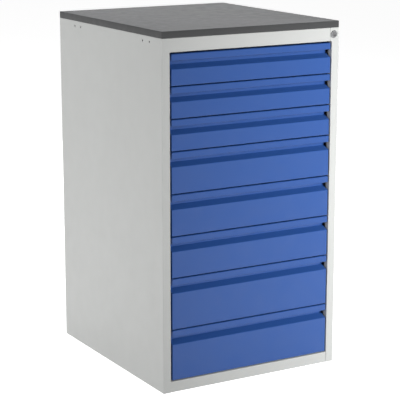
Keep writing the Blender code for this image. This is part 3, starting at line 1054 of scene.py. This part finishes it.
@dataclass(frozen=True)
class Lock:
    """Round lock: its body, the plug with its crank, and the bar that the plug lifts."""

    face_radius: float = 0.0112
    body_radius: float = 0.0085
    bore_radius: float = 0.0060
    bezel: float = 0.0010
    bore_bezel: float = 0.0010 / 3
    shank_bezel: float = 0.0005
    proud: float = 0.0020
    plug_radius: float = 0.0057
    plug_edge: float = 0.0005
    dish_depth: float = 0.0005
    dish_radius: float = 0.0040
    dish_middle: float = 0.0005
    keyway_width: float = 0.0014
    keyway_height: float = 0.0064
    keyway_depth: float = 0.0040
    crank_radius: float = 0.0080
    crank_width: float = 0.0056
    crank_sheet: float = 0.0022
    crank_gap: float = 0.0004
    crank_turn: float = math.radians(-45)
    pin_radius: float = 0.00175
    pin_edge: float = 0.0003

    def build(self) -> None:
        """Make the lock's pieces."""
        self.build_body()
        self.build_plug()
        dressed("lock_bar", ZINC)

    def build_body(self) -> None:
        """Body with a rounded face flange, a step down to the shank and a bore."""
        limits = box("lock_housing")
        depth, step = limits[1, 1] - limits[0, 1], self.proud - TIGHT
        start = (self.bore_radius, depth / 2)
        corners = [start, (self.bore_radius, 0), (self.face_radius, 0), (self.face_radius, step),
                   (self.body_radius, step), (self.body_radius, depth), (self.bore_radius, depth), start]
        radii = [self.bore_bezel, self.bezel, CUT_EDGE, CUT_EDGE, self.shank_bezel, CUT_EDGE]
        x, _, z = limits.mean(axis=0)
        profile = supported(rounded(corners, radii), 2)[:-1]
        shape = turned(profile, (x, limits[0, 1], z), Axis.Y, ROUND_SIDES, hollow=True)
        finished("lock_body", shape, "housing", CHROME, "lock_housing")

    def build_plug(self) -> None:
        """Plug with a dished face and a keyway, its crank arm and the pin that works in the bar's slot.

        The arm's outline is half a circle about each of its ends.
        """
        x, _, z = box("lock_housing").mean(axis=0)
        front, rear = box("lock_plug")[:, 1]
        crank_rear = box("lock_bar")[0, 1] - self.crank_gap
        length = crank_rear - front
        corners = [(self.dish_middle, self.dish_depth), (self.dish_radius, self.dish_depth),
                   (self.dish_radius + self.dish_depth, 0), (self.plug_radius, 0), (self.plug_radius, length),
                   (self.dish_radius, length)]
        profile = supported(rounded(corners, [CUT_EDGE, CUT_EDGE, self.plug_edge, CUT_EDGE]), 2)
        core = turned(profile, (x, front, z), Axis.Y, ROUND_SIDES)
        width, height = self.keyway_width / 2, self.keyway_height / 2
        slot = rectangle((x - width, z - height), (x + width, z + height), CUT_EDGE)
        keyway = prism(slot, Axis.Y, (front - OVERRUN, front + self.keyway_depth))
        mesh = carved("lock_plug_core", core, keyway)
        finished("lock_plug_core", mesh, "lock_plug", PLUG_STEEL, "lock_plug")
        root = np.array([x, z])
        tip = root + self.crank_radius * arc(self.crank_turn)
        half = np.linspace(-math.pi / 2, math.pi / 2, SMALL_ROUND_SIDES // 2)
        ends = [(tip, self.crank_turn + half), (root, self.crank_turn + math.pi + half)]
        arm = np.vstack([centre + self.crank_width / 2 * arc(angles) for centre, angles in ends])
        crank = plate(arm, Axis.Y, (crank_rear - self.crank_sheet, crank_rear))
        pin_span = (crank_rear - self.crank_sheet / 2, rear)
        pin = plate(circle(tip, self.pin_radius, SMALL_ROUND_SIDES), Axis.Y, pin_span, self.pin_edge)
        finished("lock_crank", joined(crank, pin), "lock_plug", PLUG_STEEL)


@dataclass(frozen=True)
class Softbox:
    """Square soft light that is neither seen nor mirrored itself."""

    name: str
    place: Triple
    aim: Triple
    size: float
    power: float
    spread: float = math.pi

    def build(self) -> None:
        """Make the light and turn it to what it lights."""
        light = bpy.data.lights.new(self.name, "AREA")
        light.shape = "RECTANGLE"
        light.size = light.size_y = self.size
        light.energy = self.power
        light.spread = self.spread
        lamp = placed(self.name, light)
        lamp.location = self.place
        x, y, z = np.subtract(self.aim, self.place)
        lamp.rotation_euler = (math.atan2(math.hypot(x, y), -z), 0, -math.atan2(x, y))
        lamp.visible_camera = False
        lamp.visible_glossy = False


LIGHTS = (
    Softbox("key_light", (2.20, -5.00, 1.65), (1.60, 0.30, 0.60), 1.00, 69, math.radians(50)),
    Softbox("corner_light", (-4.40, -1.70, 0.90), (-0.29, 1.00, 0.50), 1.20, 18, math.radians(90)),
    Softbox("high_fill_light", (-1.60, -4.00, 3.00), (0, -0.30, 0.50), 1.60, 28),
    Softbox("low_fill_light", (-1.60, -4.00, 0.70), (0, -0.30, 0.50), 1.60, 21),
    Softbox("side_light", (-2.80, 1.10, 0.75), (-0.29, 0, 0.55), 1.60, 43),
    Softbox("rear_light", (1.40, 3.00, 1.20), (0, 0.32, 0.50), 1.60, 90),
    Softbox("top_light", (0, 0.25, 3.00), (0, 0.25, 1.02), 1.20, 100),
)


@dataclass(frozen=True)
class Studio:
    """Pale floor, white surroundings, soft lights and the camera."""

    camera_place: Triple = (-2.1884, -3.7995, 1.4642)
    camera_heading: float = math.radians(30.12)
    camera_pitch: float = math.radians(12.827)
    lens: float = 133.29
    floor_half: float = 30.0
    floor_colour: Triple = (0.50, 0.50, 0.50)
    floor_glow: float = 0.90
    floor_fleck_share: float = 0.99
    floor_gloss: Pair = (0.75, 0.85)
    floor_grain: float = 0.030
    floor_bump: float = 0.00003
    world_strength: float = 0.12

    def build(self) -> None:
        """Set up the floor, the surroundings, the lights and the camera."""
        self.build_floor()
        self.build_world()
        for light in LIGHTS:
            light.build()
        self.build_camera()
        bpy.context.scene.view_settings.view_transform = "Standard"

    def build_floor(self) -> None:
        """Level floor with a faint texture, so bright that it runs into the surroundings."""
        graph = Graph("pale_floor", emission_color=WHITE, emission_strength=self.floor_glow)
        grain = graph.noise(self.floor_grain, detail=3)
        colour = graph.mixed(self.floor_colour, shaded(self.floor_colour, self.floor_fleck_share), grain)
        gloss = graph.graded(grain, *self.floor_gloss)
        material = graph.closed(colour, gloss, graph.bumps(grain, self.floor_bump))
        points = self.floor_half * np.array([(-1, -1, 0), (1, -1, 0), (1, 1, 0), (-1, 1, 0)])
        mesh = Surface(points, np.array([[0, 1, 2, 3]])).mesh("floor")
        mesh.materials.append(material)
        floor = placed("floor", mesh)
        floor.visible_diffuse = False

    def build_world(self) -> None:
        """Surroundings that look white and light evenly."""
        world = bpy.data.worlds.new("white_surroundings")
        world.use_nodes = True
        nodes, links = world.node_tree.nodes, world.node_tree.links
        seen = nodes.new("ShaderNodeLightPath").outputs["Is Camera Ray"]
        strength = nodes.new("ShaderNodeMapRange")
        strength.inputs["To Min"].default_value = self.world_strength
        nodes["Background"].inputs["Color"].default_value = WHITE
        links.new(seen, strength.inputs["Value"])
        links.new(strength.outputs["Result"], nodes["Background"].inputs["Strength"])
        bpy.context.scene.world = world

    def build_camera(self) -> None:
        """Camera at the photograph's place and angle."""
        data = bpy.data.cameras.new("camera")
        data.lens = self.lens
        camera = placed("camera", data)
        camera.location = self.camera_place
        camera.rotation_euler = (math.pi / 2 - self.camera_pitch, 0, -self.camera_heading)
        bpy.context.scene.camera = camera


def main() -> None:
    """Build the cabinet and the studio."""
    Housing(Places.read()).build()
    Worktop().build()
    count = sum(node.endswith("_front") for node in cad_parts)
    for number in range(1, count + 1):
        Drawer(number).build()
        for side in Side:
            Slide(number, side).build()
    Lock().build()
    Studio().build()


if __name__ == "__main__":
    logging.basicConfig(level=logging.INFO, format="%(name)s: %(message)s")
    main()
